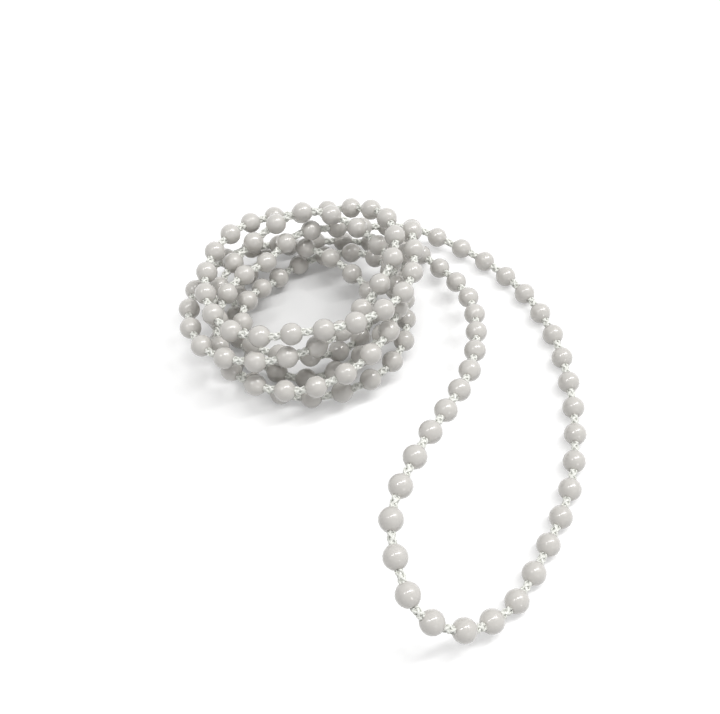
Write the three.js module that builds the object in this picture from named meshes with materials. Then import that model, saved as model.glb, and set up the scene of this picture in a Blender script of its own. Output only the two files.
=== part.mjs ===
// Plastic bead chain, as used to work a roller blind: round beads moulded at a fixed pitch onto one endless
// braided cord. It lies on a flat surface as a loose coil, with one free loop reaching out in front.
// Millimetres, +Z up. The origin is on the surface, under the middle of the chain's outline.

import * as THREE from "three";

// The chain itself
const BEAD_DIAMETER = 4.2;
const BEAD_PITCH = 6;
const CORD_DIAMETER = 1.8;

// How closely the runs of the coil lie on and beside each other
const RUN_CLEARANCE = 0.2;
const RUN_WIDTH = BEAD_DIAMETER + RUN_CLEARANCE;

// Facets round the cord and the beads
const SIDES = 7;

// How closely the route's curve is worked out
const STATIONS_PER_TURN = 8;
const POINTS_PER_STATION = 2;
const CURVE_STEPS_PER_POINT = 12;

// Every place on the route is given in widths of a run, so that the coil grows with its beads.

// The free loop, from where its outer run leaves the coil to where its inner run goes back in. Each point is
// its place from the coil's middle, in x and y, and how high it is lifted off the surface. The outer run lies
// flat, and the inner run arches.
const FREE_LOOP = [
  [2.5, 4.5, 1.25],
  [4.75, 5.25, 0.5],
  [6.25, 4.9, 0.15],
  [8.5, 3.4, 0],
  [10.25, 1.25, 0],
  [11.25, -1.25, 0],
  [11.6, -4, 0],
  [11.5, -6.6, 0],
  [10.9, -9.3, 0],
  [9.75, -11.7, 0],
  [8.3, -14, 0],
  [7.25, -14.9, 0.2],
  [6.25, -15.45, 0.7],
  [5, -15.45, 1.35],
  [4.1, -14.75, 2.05],
  [3.5, -12.25, 2.85],
  [4.45, -9.65, 3.05],
  [5.8, -7.25, 2.7],
  [6.95, -4.9, 2.15],
  [7.5, -2.25, 1.5],
  [7.4, 0.35, 0.8],
  [6.25, 2.7, 0.25],
  [4.3, 4.45, 0],
];

// The loop's far end, tucked down inside the right-hand side of the coil, from the top run to the lowest one
const TUCKED_END = [
  [4.75, 2, 3.25],
  [4.75, 3, 2.5],
  [4.75, 3.25, 1.5],
  [4.5, 3, 0.5],
  [4.5, 2, 0],
];

// The two runs that are wound into the coil, each from the back, by the left, the front and the right. A row
// is one turn, and a pair in it is one station: how far out the run lies from the coil's middle, and how high
// it is lifted off the surface.
const INNER_RUN = [
  [4.75, 0], [4, 0], [3.5, 0], [3.5, 0], [3.75, 0], [4, 1], [4, 1.25], [4.25, 0.75],
  [3.5, 0], [2.5, 0.25], [2.75, 1], [3.5, 1], [3.25, 1], [3, 0.5], [3, 0.75], [2.75, 0.75],
  [3.25, 1], [4.75, 0.75], [5.25, 1.25], [5.5, 2], [4, 2.25], [3, 2.25], [3.75, 3.5], [4.75, 3.25],
  [5.25, 1.5], [4.75, 2.25], [4.5, 2.5], [4.5, 2.75], [3.75, 3.25], [4.25, 3.5], [4.75, 3.25],
];
const OUTER_RUN = [
  [3.5, 2], [2.75, 1.5], [3.5, 1.75], [5, 1], [5.25, 1.25], [4.75, 2.25], [4, 2.25], [4, 2.25],
  [3.75, 3], [3.75, 2], [4.25, 1], [4.5, 0], [4.75, 0], [5, 0.5], [4.5, 0.25],
];

const restHeight = BEAD_DIAMETER / 2;

// The value a share of the way from b to c on a smooth curve through a, b, c and d
function smooth(a, b, c, d, share) {
  const bend = 3 * (b - c) + d - a;
  return b + 0.5 * share * (c - a + share * (2 * a - 5 * b + 4 * c - d + share * bend));
}

// A point of the cord's middle line, from its place in widths of a run
function placePoint(x, y, lift) {
  return new THREE.Vector3(x * RUN_WIDTH, y * RUN_WIDTH, restHeight + Math.max(lift, 0) * RUN_WIDTH);
}

// Points along a run of the coil, through its stations
function windRun(stations) {
  const at = (index, axis) => stations[THREE.MathUtils.clamp(index, 0, stations.length - 1)][axis];
  const points = [];
  for (let step = 0; step <= (stations.length - 1) * POINTS_PER_STATION; step++) {
    const station = Math.floor(step / POINTS_PER_STATION);
    const share = step / POINTS_PER_STATION - station;
    const [reach, lift] = [0, 1].map((axis) =>
      smooth(at(station - 1, axis), at(station, axis), at(station + 1, axis), at(station + 2, axis), share),
    );
    const angle = Math.PI / 2 + (2 * Math.PI * (station + share)) / STATIONS_PER_TURN;
    points.push(placePoint(reach * Math.cos(angle), reach * Math.sin(angle), lift));
  }
  return points;
}

// The whole endless route: free loop, inner run into the coil, tucked end, and outer run back out
function chainRoute() {
  return new THREE.CatmullRomCurve3(
    [
      ...FREE_LOOP.map((place) => placePoint(...place)),
      ...windRun(INNER_RUN),
      ...TUCKED_END.map((place) => placePoint(...place)),
      ...windRun(OUTER_RUN).reverse(),
    ],
    true,
    "catmullrom",
  );
}

// Where the rings of one bead stand along the cord from its middle, and how wide they are
function beadRings() {
  const radius = BEAD_DIAMETER / 2;
  const cordRadius = CORD_DIAMETER / 2;
  const shoulder = radius * Math.SQRT1_2;
  const neck = Math.sqrt(radius ** 2 - cordRadius ** 2);
  return [
    { along: -neck, radius: cordRadius },
    { along: -shoulder, radius: shoulder },
    { along: 0, radius },
    { along: shoulder, radius: shoulder },
    { along: neck, radius: cordRadius },
  ];
}

// One closed tube whose width swells at each bead and narrows to the cord between them
function chainGeometry(route) {
  route.arcLengthDivisions = route.points.length * CURVE_STEPS_PER_POINT;
  const length = route.getLength();
  const beadCount = Math.round(length / BEAD_PITCH);
  const rings = [];
  for (let bead = 0; bead < beadCount; bead++) {
    for (const { along, radius } of beadRings()) {
      const share = bead / beadCount + along / length;
      const u = THREE.MathUtils.euclideanModulo(share, 1);
      rings.push({ centre: route.getPointAt(u), tangent: route.getTangentAt(u), radius });
    }
  }

  // Each ring's first corner points the way that turns least from the ring before
  let side = new THREE.Vector3(0, 0, 1).cross(rings[0].tangent).normalize();
  const positions = [];
  for (const { centre, tangent, radius } of rings) {
    side = side.addScaledVector(tangent, -side.dot(tangent)).normalize();
    const other = new THREE.Vector3().crossVectors(tangent, side);
    for (let corner = 0; corner < SIDES; corner++) {
      const turn = (2 * Math.PI * corner) / SIDES;
      const point = centre
        .clone()
        .addScaledVector(side, radius * Math.cos(turn))
        .addScaledVector(other, radius * Math.sin(turn));
      positions.push(...point.toArray());
    }
  }

  // The last ring meets the first one turned by as many corners as the sides have drifted
  const closing = rings[0].tangent;
  const firstSide = new THREE.Vector3(0, 0, 1).cross(closing).normalize();
  const drift = Math.atan2(new THREE.Vector3().crossVectors(side, firstSide).dot(closing), side.dot(firstSide));
  const cornersTurned = Math.round((drift * SIDES) / (2 * Math.PI));

  const faces = [];
  rings.forEach((_, ring) => {
    const next = (ring + 1) % rings.length;
    const turned = next === 0 ? SIDES - cornersTurned : 0;
    for (let corner = 0; corner < SIDES; corner++) {
      const a = ring * SIDES + corner;
      const b = ring * SIDES + ((corner + 1) % SIDES);
      const c = next * SIDES + ((corner + turned) % SIDES);
      const d = next * SIDES + ((corner + 1 + turned) % SIDES);
      faces.push(a, b, d, a, d, c);
    }
  });
  const geometry = new THREE.BufferGeometry();
  geometry.setAttribute("position", new THREE.Float32BufferAttribute(positions, 3));
  geometry.setIndex(faces);
  geometry.computeVertexNormals();
  return geometry;
}

function beadChain() {
  const plastic = new THREE.MeshStandardMaterial({ color: "#cfcac4", roughness: 0.25, metalness: 0 });
  const mesh = new THREE.Mesh(chainGeometry(chainRoute()), plastic);
  mesh.name = "bead_chain";
  const middle = new THREE.Box3().setFromObject(mesh).getCenter(new THREE.Vector3());
  mesh.position.set(-middle.x, -middle.y, 0);
  return mesh;
}

const chain = new THREE.Group();
chain.add(beadChain());

export default chain;
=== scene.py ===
"""Plastic bead chain for a roller blind: round gloss beads moulded onto one endless braided cord. It lies on
a white floor as a loose coil, with one free loop reaching out in front."""

import math

import bmesh
import bpy
from bpy.props import FloatProperty, FloatVectorProperty, IntProperty, PointerProperty
from mathutils import Matrix, Vector


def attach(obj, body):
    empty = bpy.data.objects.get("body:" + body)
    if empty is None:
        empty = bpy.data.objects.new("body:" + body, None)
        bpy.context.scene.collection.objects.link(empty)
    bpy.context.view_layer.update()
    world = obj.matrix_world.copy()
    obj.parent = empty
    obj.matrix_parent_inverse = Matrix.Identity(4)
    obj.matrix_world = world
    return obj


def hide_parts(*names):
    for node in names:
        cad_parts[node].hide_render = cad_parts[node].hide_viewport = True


bl_info = {
    "name": "Bead Chain",
    "version": (1, 0, 0),
    "blender": (4, 5, 0),
    "location": "View3D > Sidebar > Bead Chain",
    "description": "A coiled plastic bead chain on a braided cord, with its studio",
    "category": "Object",
}

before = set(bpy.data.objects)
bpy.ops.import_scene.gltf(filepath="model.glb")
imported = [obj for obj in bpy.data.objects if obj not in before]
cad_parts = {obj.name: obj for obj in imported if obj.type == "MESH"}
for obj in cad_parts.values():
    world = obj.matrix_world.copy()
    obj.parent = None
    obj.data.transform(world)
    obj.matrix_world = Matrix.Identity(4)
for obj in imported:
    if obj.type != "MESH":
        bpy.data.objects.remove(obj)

MM = 0.001
CHAIN_NODE = "bead_chain"

# The coil's middle on the floor, in the part's frame, in millimetres
COIL_MIDDLE = (-13.895, 22.450)

# One run of the chain lying on or beside another, in millimetres, and a bead's middle above what it lies on
RUN_WIDTH = 4.4
BEAD_REST_HEIGHT = 2.1

STATIONS_PER_TURN = 8
POINTS_PER_STATION = 2
CURVE_STEPS_PER_POINT = 12

# Every place on the route is given in widths of a run.

# The free loop, from where its outer run leaves the coil to where its inner run goes back in. Each point is
# its place from the coil's middle, in x and y, and how high it is lifted off the surface. The outer run lies
# flat, and the inner run arches.
FREE_LOOP = [
    (2.5, 4.5, 1.25), (4.75, 5.25, 0.5), (6.25, 4.9, 0.15), (8.5, 3.4, 0), (10.25, 1.25, 0),
    (11.25, -1.25, 0), (11.6, -4, 0), (11.5, -6.6, 0), (10.9, -9.3, 0), (9.75, -11.7, 0), (8.3, -14, 0),
    (7.25, -14.9, 0.2), (6.25, -15.45, 0.7), (5, -15.45, 1.35), (4.1, -14.75, 2.05), (3.5, -12.25, 2.85),
    (4.45, -9.65, 3.05), (5.8, -7.25, 2.7), (6.95, -4.9, 2.15), (7.5, -2.25, 1.5), (7.4, 0.35, 0.8),
    (6.25, 2.7, 0.25), (4.3, 4.45, 0),
]

# The loop's far end, tucked down inside the right-hand side of the coil, from the top run to the lowest one
TUCKED_END = [
    (4.75, 2, 3.25), (4.75, 3, 2.5), (4.75, 3.25, 1.5), (4.5, 3, 0.5), (4.5, 2, 0),
]

# The two runs that are wound into the coil, each from the back, by the left, the front and the right. A row
# is one turn, and a pair in it is one station: how far out the run lies from the coil's middle, and how high
# it is lifted off the surface.
INNER_RUN = [
    (4.75, 0), (4, 0), (3.5, 0), (3.5, 0), (3.75, 0), (4, 1), (4, 1.25), (4.25, 0.75),
    (3.5, 0), (2.5, 0.25), (2.75, 1), (3.5, 1), (3.25, 1), (3, 0.5), (3, 0.75), (2.75, 0.75),
    (3.25, 1), (4.75, 0.75), (5.25, 1.25), (5.5, 2), (4, 2.25), (3, 2.25), (3.75, 3.5), (4.75, 3.25),
    (5.25, 1.5), (4.75, 2.25), (4.5, 2.5), (4.5, 2.75), (3.75, 3.25), (4.25, 3.5), (4.75, 3.25),
]
OUTER_RUN = [
    (3.5, 2), (2.75, 1.5), (3.5, 1.75), (5, 1), (5.25, 1.25), (4.75, 2.25), (4, 2.25), (4, 2.25),
    (3.75, 3), (3.75, 2), (4.25, 1), (4.5, 0), (4.75, 0), (5, 0.5), (4.5, 0.25),
]

# Facets of one bead and of one gap's braid
BEAD_SIDES = 20
BEAD_BANDS_PER_QUARTER = 5
STRANDS_EACH_WAY = 3
STRAND_STEPS = 9
STRAND_SIDES = 6
CORE_SIDES = 8
CORE_RINGS_PER_PITCH = 4

# Where a bead's collar ends, as a share of the bead's radius, how deep the bevel on it is, and how wide its
# end face is, as a share of the collar
COLLAR_END = 0.93
COLLAR_BEVEL = 0.02 * MM
COLLAR_FACE = 0.88

# The braid starts this far out in the bead, as a share of the bead's radius
BRAID_START = 0.88

# How far a strand swings in and out as it passes over and under the others, in strand thicknesses
STRAND_SWING = 0.4

# How far each end of the cord stops from the middle of the bead that they meet in, as a share of the cord
CORD_END_GAP = 0.0006

BEAD_SHADE_SEED = 3


def linear(hex_colour):
    """An sRGB hex colour, such as #C9C5C1, as linear red, green and blue"""
    channels = [int(hex_colour[i : i + 2], 16) / 255 for i in (1, 3, 5)]
    return [c / 12.92 if c <= 0.04045 else ((c + 0.055) / 1.055) ** 2.4 for c in channels]


class ChainSettings(bpy.types.PropertyGroup):
    """Sizes and colours of the chain"""

    bead_diameter: FloatProperty(
        name="Bead diameter", description="Across one ball", default=4.2 * MM, unit="LENGTH", precision=5
    )
    bead_pitch: FloatProperty(
        name="Bead pitch", description="From one bead's middle to the next", default=6 * MM, unit="LENGTH",
        precision=5,
    )
    collar_width: FloatProperty(
        name="Collar width", description="Across the small collar where the cord enters a bead",
        default=1.84 * MM, unit="LENGTH", precision=5,
    )
    braid_width: FloatProperty(
        name="Braid width", description="Across the braid, over its strands' middles", default=1.1 * MM,
        unit="LENGTH", precision=5,
    )
    braid_lead: FloatProperty(
        name="Braid lead", description="Length in which a strand goes once round the cord", default=4.2 * MM,
        unit="LENGTH", precision=5,
    )
    strand_width: FloatProperty(
        name="Strand width", description="Across one flat strand", default=0.52 * MM, unit="LENGTH",
        precision=5,
    )
    strand_thickness: FloatProperty(
        name="Strand thickness", description="Through one flat strand", default=0.3 * MM, unit="LENGTH",
        precision=5,
    )
    core_width: FloatProperty(
        name="Core width", description="Across the core inside the braid", default=0.76 * MM, unit="LENGTH",
        precision=5,
    )
    turn_seed: IntProperty(
        name="Turn seed", description="Which way round each bead and each gap's braid happens to lie",
        default=7,
    )
    bead_colour: FloatVectorProperty(
        name="Bead colour", description="Colour of the moulded plastic", subtype="COLOR", size=3,
        default=linear("#CCC9C4"), min=0, max=1,
    )
    strand_colour: FloatVectorProperty(
        name="Strand colour", description="Colour of the braid's yarn", subtype="COLOR", size=3,
        default=linear("#F1F2EC"), min=0, max=1,
    )


class StudioSettings(bpy.types.PropertyGroup):
    """Floor and light of the studio"""

    floor_colour: FloatVectorProperty(
        name="Floor colour", description="Colour of the seamless floor", subtype="COLOR", size=3,
        default=linear("#D4D4D4"), min=0, max=1,
    )
    room_light: FloatProperty(
        name="Room light", description="Brightness of the white room all round", default=0.4, min=0
    )
    tube_light: FloatProperty(
        name="Tube light", description="Power of the long tube lamps overhead, in watts", default=7.4, min=0
    )
    side_light: FloatProperty(
        name="Side light", description="Power of the small lamp on the right, in watts", default=0.6, min=0
    )
    soft_light: FloatProperty(
        name="Soft light", description="Power of the large soft lamp, up on the right, in watts",
        default=4.5, min=0,
    )


def add_node(tree, kind, inputs=None, **settings):
    """Add one node. Each input is a value or a socket to link it to, and each setting is a property of it."""
    node = tree.nodes.new(kind)
    for name, value in settings.items():
        setattr(node, name, value)
    for name, value in (inputs or {}).items():
        if isinstance(value, bpy.types.NodeSocket):
            tree.links.new(value, node.inputs[name])
        else:
            node.inputs[name].default_value = value
    return node


def smooth(a, b, c, d, share):
    """The value a share of the way from b to c on a smooth curve through a, b, c and d"""
    bend = 3 * (b - c) + d - a
    return b + 0.5 * share * (c - a + share * (2 * a - 5 * b + 4 * c - d + share * bend))


def wind_run(stations):
    """Points along a run of the coil, through its stations, in widths of a run"""
    last = len(stations) - 1
    points = []
    for step in range(last * POINTS_PER_STATION + 1):
        station, part = divmod(step, POINTS_PER_STATION)
        share = part / POINTS_PER_STATION
        near = [stations[min(max(station + i, 0), last)] for i in (-1, 0, 1, 2)]
        reach, lift = (smooth(*(place[axis] for place in near), share) for axis in (0, 1))
        angle = math.pi / 2 + 2 * math.pi * (station + share) / STATIONS_PER_TURN
        points.append((reach * math.cos(angle), reach * math.sin(angle), max(lift, 0)))
    return points


def chain_route():
    """Points close together along the whole endless route, in metres, ending where they start"""
    points = [*FREE_LOOP, *wind_run(INNER_RUN), *TUCKED_END, *reversed(wind_run(OUTER_RUN))]
    count = len(points)
    coil_middle = Vector((*COIL_MIDDLE, BEAD_REST_HEIGHT))
    route = []
    for index in range(count):
        near = [points[(index + i) % count] for i in (-1, 0, 1, 2)]
        for step in range(CURVE_STEPS_PER_POINT):
            share = step / CURVE_STEPS_PER_POINT
            place = Vector(smooth(*(point[axis] for point in near), share) for axis in range(3))
            route.append((coil_middle + place * RUN_WIDTH) * MM)
    return [*route, route[0]]


def route_length(route):
    """Length of the route, in metres"""
    return sum((b - a).length for a, b in zip(route, route[1:]))


def bead_count(route, settings):
    """How many beads the endless route holds"""
    return round(route_length(route) / settings.bead_pitch)


def route_curve(route):
    """The route as a curve object, for a node tree to follow"""
    curve = bpy.data.curves.new("chain_route", "CURVE")
    curve.dimensions = "3D"
    spline = curve.splines.new("POLY")
    spline.points.add(len(route) - 1)
    for place, point in zip(route, spline.points):
        point.co = (*place, 1)
    return add_object("chain_route", curve)


def add_object(name, data):
    """Put new mesh or curve data into the scene"""
    made = bpy.data.objects.new(name, data)
    bpy.context.scene.collection.objects.link(made)
    return made


def bead_pattern(settings):
    """One bead about the Z axis: a ball with a small collar at each end, where the cord enters it"""
    radius = settings.bead_diameter / 2
    collar = settings.collar_width / 2
    end = radius * COLLAR_END
    outline = []
    for band in range(BEAD_BANDS_PER_QUARTER - 1):
        turn = math.pi / 2 * band / BEAD_BANDS_PER_QUARTER
        outline.append((radius * math.sin(turn), radius * math.cos(turn)))
    outline += [(end - COLLAR_BEVEL, collar), (end, collar * COLLAR_FACE)]
    outline = [(-along, width) for along, width in reversed(outline[1:])] + outline

    shape = bmesh.new()
    rings = []
    for along, width in outline:
        ring = []
        for side in range(BEAD_SIDES):
            turn = 2 * math.pi * side / BEAD_SIDES
            ring.append(shape.verts.new((width * math.cos(turn), width * math.sin(turn), along)))
        rings.append(ring)
    join_rings(shape, rings)
    shape.faces.new(rings[0][::-1])
    shape.faces.new(rings[-1])
    return pattern_object("bead_pattern", shape, "bead_place")


def braid_pattern(settings):
    """The braid in one gap, about the Z axis: flat strands that wind both ways, over and under each other"""
    half = settings.bead_pitch / 2 - settings.bead_diameter / 2 * BRAID_START
    swing = STRAND_SWING * settings.strand_thickness
    shape = bmesh.new()
    place_layer = shape.verts.layers.float_vector.new("strand_place")
    for hand in (1, -1):
        for strand in range(STRANDS_EACH_WAY):
            rings = []
            for step in range(STRAND_STEPS + 1):
                along = half * (2 * step / STRAND_STEPS - 1)
                wound = 2 * math.pi * along / settings.braid_lead
                turn = hand * wound + 2 * math.pi * strand / STRANDS_EACH_WAY
                reach = settings.braid_width / 2 + hand * swing * math.cos(STRANDS_EACH_WAY * wound)
                outward = Vector((math.cos(turn), math.sin(turn), 0))
                sideways = Vector((-math.sin(turn), math.cos(turn), 0))
                forward = Vector((0, 0, 1)) + sideways * (hand * 2 * math.pi * reach / settings.braid_lead)
                across = forward.normalized().cross(outward)
                ring = []
                for side in range(STRAND_SIDES):
                    angle = 2 * math.pi * (side + 0.5) / STRAND_SIDES
                    place = (
                        outward * (reach + settings.strand_thickness / 2 * math.sin(angle))
                        + across * (settings.strand_width / 2 * math.cos(angle))
                        + Vector((0, 0, along))
                    )
                    corner = shape.verts.new(place)
                    corner[place_layer] = (
                        along * forward.length,
                        settings.strand_width / 2 * math.cos(angle),
                        (strand + hand) * MM,
                    )
                    ring.append(corner)
                rings.append(ring)
            join_rings(shape, rings)
            shape.faces.new(rings[0][::-1])
            shape.faces.new(rings[-1])
    return pattern_object("braid_pattern", shape)


def join_rings(shape, rings):
    """Faces between each ring and the next"""
    for ring, following in zip(rings, rings[1:]):
        for side in range(len(ring)):
            after = (side + 1) % len(ring)
            shape.faces.new((ring[side], ring[after], following[after], following[side]))


def pattern_object(name, shape, place_name=None):
    """A mesh that a node tree repeats. Its own places are kept as an attribute where a name is given."""
    bmesh.ops.recalc_face_normals(shape, faces=shape.faces)
    mesh = bpy.data.meshes.new(name)
    shape.to_mesh(mesh)
    shape.free()
    if place_name:
        places = mesh.attributes.new(place_name, "FLOAT_VECTOR", "POINT")
        for vertex, place in zip(mesh.vertices, places.data):
            place.vector = vertex.co
    return add_object(name, mesh)


def new_tree(name, sockets):
    """A geometry node tree that takes the route and other named inputs, and the sockets that give them"""
    tree = bpy.data.node_groups.new(name, "GeometryNodeTree")
    tree.interface.new_socket("Geometry", in_out="OUTPUT", socket_type="NodeSocketGeometry")
    for label, kind in (("Route", "NodeSocketGeometry"), *sockets):
        tree.interface.new_socket(label, in_out="INPUT", socket_type=kind)
    return tree, add_node(tree, "NodeGroupInput").outputs


def lay_on_route(tree, given, pattern, count, chosen):
    """Instances of a pattern along the route, each turned about the cord by a random angle"""
    along = add_node(
        tree, "GeometryNodeCurveToPoints", {"Curve": given["Route"], "Count": count}, mode="COUNT"
    )
    turn = add_node(
        tree, "FunctionNodeRandomValue", {"Min": 0.0, "Max": 2 * math.pi, "Seed": given["Seed"]},
        data_type="FLOAT",
    )
    # A Random Value node has one output for each kind of value, and the second is the single number
    spin = add_node(tree, "ShaderNodeCombineXYZ", {"Z": turn.outputs[1]})
    spin = add_node(tree, "FunctionNodeEulerToRotation", {"Euler": spin.outputs[0]})
    facing = add_node(
        tree, "FunctionNodeRotateRotation",
        {"Rotation": along.outputs["Rotation"], "Rotate By": spin.outputs[0]}, rotation_space="LOCAL",
    )
    shape = add_node(tree, "GeometryNodeObjectInfo", {"Object": pattern})
    return add_node(
        tree, "GeometryNodeInstanceOnPoints",
        {
            "Points": along.outputs["Points"],
            "Selection": chosen,
            "Instance": shape.outputs["Geometry"],
            "Rotation": facing.outputs[0],
        },
    )


def finish_tree(tree, geometry, material):
    """Real geometry, shaded smooth, in the material"""
    real = add_node(tree, "GeometryNodeRealizeInstances", {"Geometry": geometry})
    shaded = add_node(tree, "GeometryNodeSetShadeSmooth", {"Geometry": real.outputs[0]})
    painted = add_node(
        tree, "GeometryNodeSetMaterial", {"Geometry": shaded.outputs[0], "Material": material}
    )
    add_node(tree, "NodeGroupOutput", {"Geometry": painted.outputs[0]})


def beads_tree():
    """Beads at equal distances along the route, each with a slightly different shade"""
    tree, given = new_tree(
        "Beads on a cord",
        [
            ("Bead", "NodeSocketObject"),
            ("Bead count", "NodeSocketInt"),
            ("Seed", "NodeSocketInt"),
            ("Plastic", "NodeSocketMaterial"),
        ],
    )
    # The route ends where it starts, so its last place already has a bead
    places = add_node(tree, "ShaderNodeMath", {0: given["Bead count"], 1: 1.0}, operation="ADD")
    index = add_node(tree, "GeometryNodeInputIndex")
    chosen = add_node(
        tree, "FunctionNodeCompare", {"A": index.outputs[0], "B": given["Bead count"]}, data_type="FLOAT",
        operation="LESS_THAN",
    )
    beads = lay_on_route(tree, given, given["Bead"], places.outputs[0], chosen.outputs[0])
    shade = add_node(
        tree, "FunctionNodeRandomValue", {"Min": 0.0, "Max": 1.0, "Seed": BEAD_SHADE_SEED},
        data_type="FLOAT",
    )
    shaded = add_node(
        tree, "GeometryNodeStoreNamedAttribute",
        {"Geometry": beads.outputs[0], "Name": "bead_shade", "Value": shade.outputs[1]}, domain="INSTANCE",
        data_type="FLOAT",
    )
    finish_tree(tree, shaded.outputs[0], given["Plastic"])
    return tree


def cord_tree():
    """A core along the whole route, and a piece of braid round it in each gap between two beads"""
    tree, given = new_tree(
        "Braided cord",
        [
            ("Braid", "NodeSocketObject"),
            ("Bead count", "NodeSocketInt"),
            ("Core radius", "NodeSocketFloat"),
            ("Seed", "NodeSocketInt"),
            ("Yarn", "NodeSocketMaterial"),
        ],
    )
    # Every second place of the half pitches is the middle of a gap
    places = add_node(
        tree, "ShaderNodeMath", {0: given["Bead count"], 1: 2.0, 2: 1.0}, operation="MULTIPLY_ADD"
    )
    index = add_node(tree, "GeometryNodeInputIndex")
    odd = add_node(tree, "ShaderNodeMath", {0: index.outputs[0], 1: 2.0}, operation="MODULO")
    braid = lay_on_route(tree, given, given["Braid"], places.outputs[0], odd.outputs[0])

    rings = add_node(
        tree, "ShaderNodeMath", {0: given["Bead count"], 1: float(CORE_RINGS_PER_PITCH)}, operation="MULTIPLY"
    )
    # The cord's two ends stop a little short of each other, inside one bead
    open_route = add_node(
        tree, "GeometryNodeTrimCurve",
        {"Curve": given["Route"], 1: True, 2: CORD_END_GAP, 3: 1 - CORD_END_GAP}, mode="FACTOR",
    )
    line = add_node(
        tree, "GeometryNodeResampleCurve", {"Curve": open_route.outputs[0], "Count": rings.outputs[0]}
    )
    circle = add_node(
        tree, "GeometryNodeCurvePrimitiveCircle", {"Resolution": CORE_SIDES, "Radius": given["Core radius"]},
        mode="RADIUS",
    )
    core = add_node(
        tree, "GeometryNodeCurveToMesh",
        {"Curve": line.outputs[0], "Profile Curve": circle.outputs[0], "Fill Caps": True},
    )
    both = add_node(tree, "GeometryNodeJoinGeometry", {"Geometry": braid.outputs[0]})
    tree.links.new(core.outputs[0], both.inputs[0])
    finish_tree(tree, both.outputs[0], given["Yarn"])
    return tree


def grow(name, route, tree, values):
    """Run a tree on the route and keep its result as a plain mesh piece"""
    source = route_curve(route)
    modifier = source.modifiers.new(name, "NODES")
    modifier.node_group = tree
    for socket in tree.interface.items_tree:
        if socket.in_out == "INPUT" and socket.name in values:
            modifier[socket.identifier] = values[socket.name]
    evaluated = source.evaluated_get(bpy.context.evaluated_depsgraph_get())
    mesh = bpy.data.meshes.new_from_object(evaluated)
    bpy.data.objects.remove(source)
    mesh.name = name
    if not mesh.polygons:
        raise RuntimeError(f"{name} came out empty")
    return add_object(name, mesh)


def new_material(name):
    """A node material with only its shader and output"""
    material = bpy.data.materials.new(name)
    material.use_nodes = True
    tree = material.node_tree
    return material, tree, tree.nodes["Principled BSDF"]


def moulded_plastic(settings):
    """Acetal, injection moulded in one colour and left with its mould gloss"""
    # It gives the eye a pale warm grey ball with sharp thin reflections, a faint ripple where the melt
    # cooled, a hairline where the two halves of the mould met, and a slight difference in shade from bead to
    # bead. The mould's polish leaves a tighter gloss on the outermost skin than the plastic has under it.
    material, tree, shader = new_material("moulded gloss acetal")
    shader.inputs["IOR"].default_value = 1.48
    shader.inputs["Coat Weight"].default_value = 0.6
    shader.inputs["Coat Roughness"].default_value = 0.08
    shader.inputs["Coat IOR"].default_value = 1.48
    place = add_node(tree, "ShaderNodeTexCoord").outputs["Object"]

    shade = add_node(tree, "ShaderNodeAttribute", attribute_name="bead_shade")
    # Soft clouding of the melt, about 2.5 mm across
    clouds = add_node(tree, "ShaderNodeTexNoise", {"Vector": place, "Scale": 1 / (2.5 * MM), "Detail": 2.0})
    blend = add_node(
        tree, "ShaderNodeMath", {0: shade.outputs["Fac"], 1: 0.6, 2: clouds.outputs["Fac"]},
        operation="MULTIPLY_ADD",
    )
    tint = add_node(
        tree, "ShaderNodeMapRange",
        {"Value": blend.outputs[0], "From Max": 1.6, "To Min": 0.955, "To Max": 1.02},
    )
    colour = add_node(
        tree, "ShaderNodeVectorMath", {0: tuple(settings.bead_colour), "Scale": tint.outputs[0]},
        operation="SCALE",
    )
    tree.links.new(colour.outputs[0], shader.inputs["Base Color"])

    gloss = add_node(
        tree, "ShaderNodeMapRange", {"Value": clouds.outputs["Fac"], "To Min": 0.15, "To Max": 0.21}
    )
    tree.links.new(gloss.outputs[0], shader.inputs["Roughness"])

    # Ripple of the moulded skin, about 0.9 mm from crest to crest
    ripple = add_node(tree, "ShaderNodeTexNoise", {"Vector": place, "Scale": 1 / (0.9 * MM), "Detail": 1.0})
    skin = add_node(
        tree, "ShaderNodeBump", {"Height": ripple.outputs["Fac"], "Strength": 0.35, "Distance": 0.03 * MM}
    )
    # The parting line lies in the bead's own XZ plane. The real one is about 0.03 mm wide and is drawn
    # 0.12 mm wide, so that it shows.
    bead_place = add_node(tree, "ShaderNodeAttribute", attribute_name="bead_place")
    across = add_node(tree, "ShaderNodeSeparateXYZ", {0: bead_place.outputs["Vector"]})
    off_line = add_node(tree, "ShaderNodeMath", {0: across.outputs["Y"]}, operation="ABSOLUTE")
    ridge = add_node(
        tree, "ShaderNodeMapRange",
        {"Value": off_line.outputs[0], "From Max": 0.06 * MM, "To Min": 1.0, "To Max": 0.0},
        interpolation_type="SMOOTHSTEP",
    )
    line = add_node(
        tree, "ShaderNodeBump",
        {"Height": ridge.outputs[0], "Strength": 0.5, "Distance": 0.01 * MM, "Normal": skin.outputs[0]},
    )
    tree.links.new(line.outputs[0], shader.inputs["Normal"])
    return material


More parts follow.
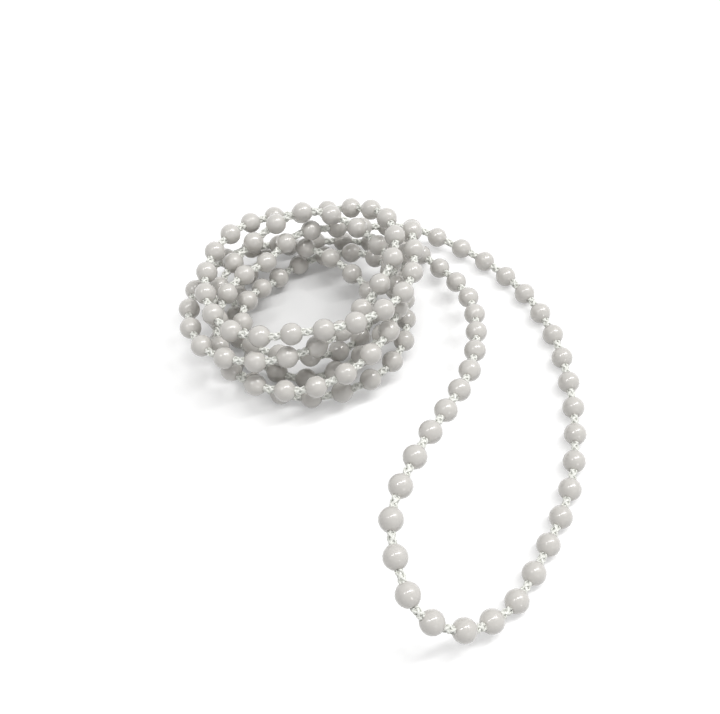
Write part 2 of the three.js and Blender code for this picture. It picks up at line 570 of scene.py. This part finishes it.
def braided_yarn(settings):
    """Polyester yarn of continuous filaments, braided"""
    # It gives the eye flat, nearly white strands with a silky shine along them, fine filaments that run the
    # way the strand does, and greyer hollows where strands cross.
    material, tree, shader = new_material("braided polyester yarn")
    shader.inputs["IOR"].default_value = 1.5
    shader.inputs["Roughness"].default_value = 0.38
    shader.inputs["Sheen Weight"].default_value = 0.15
    shader.inputs["Sheen Roughness"].default_value = 0.4

    place = add_node(tree, "ShaderNodeAttribute", attribute_name="strand_place")
    # Filaments are about 0.02 mm thick. They are drawn 0.09 mm wide so that they show, and 1.5 mm long.
    stretch = add_node(
        tree, "ShaderNodeMapping",
        {"Vector": place.outputs["Vector"], "Scale": (1 / (1.5 * MM), 1 / (0.09 * MM), 1 / (0.3 * MM))},
    )
    filaments = add_node(
        tree, "ShaderNodeTexNoise", {"Vector": stretch.outputs[0], "Scale": 1.0, "Detail": 2.0}
    )
    tint = add_node(
        tree, "ShaderNodeMapRange",
        {"Value": filaments.outputs["Fac"], "From Min": 0.3, "From Max": 0.7, "To Min": 0.84, "To Max": 1.03},
    )
    colour = add_node(
        tree, "ShaderNodeVectorMath", {0: tuple(settings.strand_colour), "Scale": tint.outputs[0]},
        operation="SCALE",
    )
    tree.links.new(colour.outputs[0], shader.inputs["Base Color"])
    grain = add_node(
        tree, "ShaderNodeBump", {"Height": filaments.outputs["Fac"], "Strength": 0.6, "Distance": 0.03 * MM}
    )
    tree.links.new(grain.outputs[0], shader.inputs["Normal"])
    return material


# How far the floor card reaches each way, in metres
CARD_REACH = 4

# The card's own glow inside the coil, where it is kept low to paint shade on the card, and around it, and
# what is added to it far away. Each changes between two distances from the coil's middle.
PAINTED_SHADE_GLOW_IN_COIL = 0.1
GLOW_AROUND = 0.42
PAINTED_SHADE_EDGE = (12 * MM, 28 * MM)
FAR_GLOW = 0.6
FAR_EDGE = (150 * MM, 700 * MM)


def plain_floor(settings):
    """Seamless white card, lit so that it reads as pure white and keeps the chain's shadow"""
    # A little light of its own, which only the camera, mirrors and glass see, lifts the card to white. It is
    # kept weaker inside the coil, which paints shade on the card there, and it grows far from the chain,
    # where the lamps fade, so that the card meets the room without a grey band.
    material, tree, shader = new_material("seamless white card")
    shader.inputs["Base Color"].default_value = (*settings.floor_colour, 1)
    shader.inputs["Roughness"].default_value = 0.9
    shader.inputs["Specular IOR Level"].default_value = 0.0
    shader.inputs["Emission Color"].default_value = (1, 1, 1, 1)
    place = add_node(tree, "ShaderNodeTexCoord").outputs["Object"]
    middle = (COIL_MIDDLE[0] * MM, COIL_MIDDLE[1] * MM, 0)
    away = add_node(tree, "ShaderNodeVectorMath", {0: place, 1: middle}, operation="DISTANCE")
    # Painted shade: the glow is lower inside the coil, so the card reads greyer there
    near = add_node(
        tree, "ShaderNodeMapRange",
        {
            "Value": away.outputs["Value"],
            "From Min": PAINTED_SHADE_EDGE[0],
            "From Max": PAINTED_SHADE_EDGE[1],
            "To Min": PAINTED_SHADE_GLOW_IN_COIL,
            "To Max": GLOW_AROUND,
        },
        interpolation_type="SMOOTHSTEP",
    )
    far = add_node(
        tree, "ShaderNodeMapRange",
        {
            "Value": away.outputs["Value"],
            "From Min": FAR_EDGE[0],
            "From Max": FAR_EDGE[1],
            "To Max": FAR_GLOW,
        },
    )
    lift = add_node(tree, "ShaderNodeMath", {0: near.outputs[0], 1: far.outputs[0]}, operation="ADD")
    glow = add_node(
        tree, "ShaderNodeMath", {0: seen_directly(tree), 1: lift.outputs[0]}, operation="MULTIPLY"
    )
    tree.links.new(glow.outputs[0], shader.inputs["Emission Strength"])
    return material


def seen_directly(tree):
    """A socket that is 1 for a ray from the camera, from a glossy surface or through glass"""
    ray = add_node(tree, "ShaderNodeLightPath").outputs
    mirrored = add_node(
        tree, "ShaderNodeMath", {0: ray["Is Glossy Ray"], 1: ray["Is Transmission Ray"]}, operation="MAXIMUM"
    )
    either = add_node(
        tree, "ShaderNodeMath", {0: ray["Is Camera Ray"], 1: mirrored.outputs[0]}, operation="MAXIMUM"
    )
    return either.outputs[0]


# The camera looks down along +Y at a point of the floor in front of the coil's middle and to its right. Its
# places and lengths are in millimetres.
CAMERA_TARGET = (COIL_MIDDLE[0] + 10.5, COIL_MIDDLE[1] - 9.5, 0)
CAMERA_DISTANCE = 183.8
CAMERA_DIP_DEGREES = 52.32
CAMERA_LENS = 45.66
CAMERA_SENSOR = 36


def set_camera():
    """The photograph's camera"""
    camera = bpy.data.cameras.new("photo_camera")
    camera.sensor_width = CAMERA_SENSOR
    camera.lens = CAMERA_LENS
    camera.clip_start = 0.01
    dip = math.radians(CAMERA_DIP_DEGREES)
    away = Vector((0, -math.cos(dip), math.sin(dip)))
    holder = add_object("photo_camera", camera)
    holder.location = (Vector(CAMERA_TARGET) + away * CAMERA_DISTANCE) * MM
    holder.rotation_euler = (math.pi / 2 - dip, 0, 0)
    bpy.context.scene.camera = holder


def set_room(settings):
    """A white room that reads as pure white where it is seen directly"""
    world = bpy.data.worlds.new("white_room")
    world.use_nodes = True
    tree = world.node_tree
    sky = tree.nodes["Background"]
    sky.inputs["Color"].default_value = (1, 1, 1, 1)
    strength = add_node(
        tree, "ShaderNodeMapRange",
        {"Value": seen_directly(tree), "To Min": settings.room_light, "To Max": 1.0},
    )
    tree.links.new(strength.outputs[0], sky.inputs["Strength"])
    bpy.context.scene.world = world


def hang_lamp(name, start, end, width, watts):
    """A long flat lamp from one end to the other, facing the chain"""
    start, end = Vector(start), Vector(end)
    lamp = bpy.data.lights.new(name, "AREA")
    lamp.shape = "RECTANGLE"
    lamp.size = (end - start).length
    lamp.size_y = width
    lamp.energy = watts
    holder = add_object(name, lamp)
    middle = (start + end) / 2
    long_way = (end - start).normalized()
    back = middle.normalized()
    short_way = back.cross(long_way).normalized()
    long_way = short_way.cross(back)
    turned = Matrix((long_way, short_way, back)).transposed().to_4x4()
    holder.matrix_world = Matrix.Translation(middle) @ turned


class BEADCHAIN_OT_stage(bpy.types.Operator):
    """Set the camera, the white floor, the room and the lamps"""

    bl_idname = "bead_chain.set_stage"
    bl_label = "Set Stage"

    def execute(self, context):
        settings = context.scene.bead_chain_studio
        context.scene.view_settings.view_transform = "Standard"
        set_camera()
        set_room(settings)

        card = bmesh.new()
        bmesh.ops.create_grid(card, x_segments=1, y_segments=1, size=CARD_REACH)
        mesh = bpy.data.meshes.new("floor_card")
        card.to_mesh(mesh)
        card.free()
        mesh.materials.append(plain_floor(settings))
        add_object("floor_card", mesh)

        # Two tubes in one line, turned a little from the coil's left and right, with the gap of their fitting
        # between them, and the bright end of the longer one. Each has its share of the tubes' power.
        tubes = settings.tube_light
        hang_lamp("tube_left", (-0.70, -0.25, 1), (-0.29, -0.085, 1), 0.11, tubes * 0.28)
        hang_lamp("tube_right", (-0.13, -0.02, 1), (0.70, 0.32, 1), 0.12, tubes * 0.72)
        hang_lamp("tube_end", (0.74, 0.23, 1), (0.66, 0.43, 1), 0.12, tubes * 0.2)
        hang_lamp("side_lamp", (0.44, -0.76, 0.48), (0.52, -0.70, 0.48), 0.1, settings.side_light)
        hang_lamp("soft_lamp", (0.4, 0.9, 1.3), (1.4, 0.1, 1.3), 1.2, settings.soft_light)
        return {"FINISHED"}


class BEADCHAIN_OT_beads(bpy.types.Operator):
    """Mould the beads onto the route at their pitch"""

    bl_idname = "bead_chain.mould_beads"
    bl_label = "Mould Beads"

    def execute(self, context):
        settings = context.scene.bead_chain
        route = chain_route()
        pattern = bead_pattern(settings)
        beads = grow(
            "beads",
            route,
            beads_tree(),
            {
                "Bead": pattern,
                "Bead count": bead_count(route, settings),
                "Seed": settings.turn_seed,
                "Plastic": moulded_plastic(settings),
            },
        )
        bpy.data.objects.remove(pattern)
        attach(beads, "root")
        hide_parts(CHAIN_NODE)
        return {"FINISHED"}


class BEADCHAIN_OT_cord(bpy.types.Operator):
    """Run the braided cord through the beads"""

    bl_idname = "bead_chain.braid_cord"
    bl_label = "Braid Cord"

    def execute(self, context):
        settings = context.scene.bead_chain
        route = chain_route()
        pattern = braid_pattern(settings)
        cord = grow(
            "braided_cord",
            route,
            cord_tree(),
            {
                "Braid": pattern,
                "Bead count": bead_count(route, settings),
                "Core radius": settings.core_width / 2,
                "Seed": settings.turn_seed + 1,
                "Yarn": braided_yarn(settings),
            },
        )
        bpy.data.objects.remove(pattern)
        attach(cord, "root")
        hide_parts(CHAIN_NODE)

        # The cord is left open inside the first bead, where its two ends meet
        return {"FINISHED"}


class BEADCHAIN_PT_panel(bpy.types.Panel):
    """Sizes, colours and the steps that make the chain"""

    bl_idname = "BEADCHAIN_PT_panel"
    bl_label = "Bead Chain"
    bl_space_type = "VIEW_3D"
    bl_region_type = "UI"
    bl_category = "Bead Chain"

    def draw(self, context):
        for settings in (context.scene.bead_chain, context.scene.bead_chain_studio):
            column = self.layout.column()
            for name in settings.__annotations__:
                column.prop(settings, name)
        for step in OPERATORS:
            self.layout.operator(step.bl_idname)


OPERATORS = (BEADCHAIN_OT_stage, BEADCHAIN_OT_beads, BEADCHAIN_OT_cord)
CLASSES = (ChainSettings, StudioSettings, *OPERATORS, BEADCHAIN_PT_panel)


def register():
    for each in CLASSES:
        bpy.utils.register_class(each)
    bpy.types.Scene.bead_chain = PointerProperty(type=ChainSettings)
    bpy.types.Scene.bead_chain_studio = PointerProperty(type=StudioSettings)


def unregister():
    del bpy.types.Scene.bead_chain_studio
    del bpy.types.Scene.bead_chain
    for each in reversed(CLASSES):
        bpy.utils.unregister_class(each)


def main():
    """Make the whole scene"""
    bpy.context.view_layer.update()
    register()
    bpy.ops.bead_chain.set_stage()
    bpy.ops.bead_chain.mould_beads()
    bpy.ops.bead_chain.braid_cord()


if __name__ == "__main__":
    main()
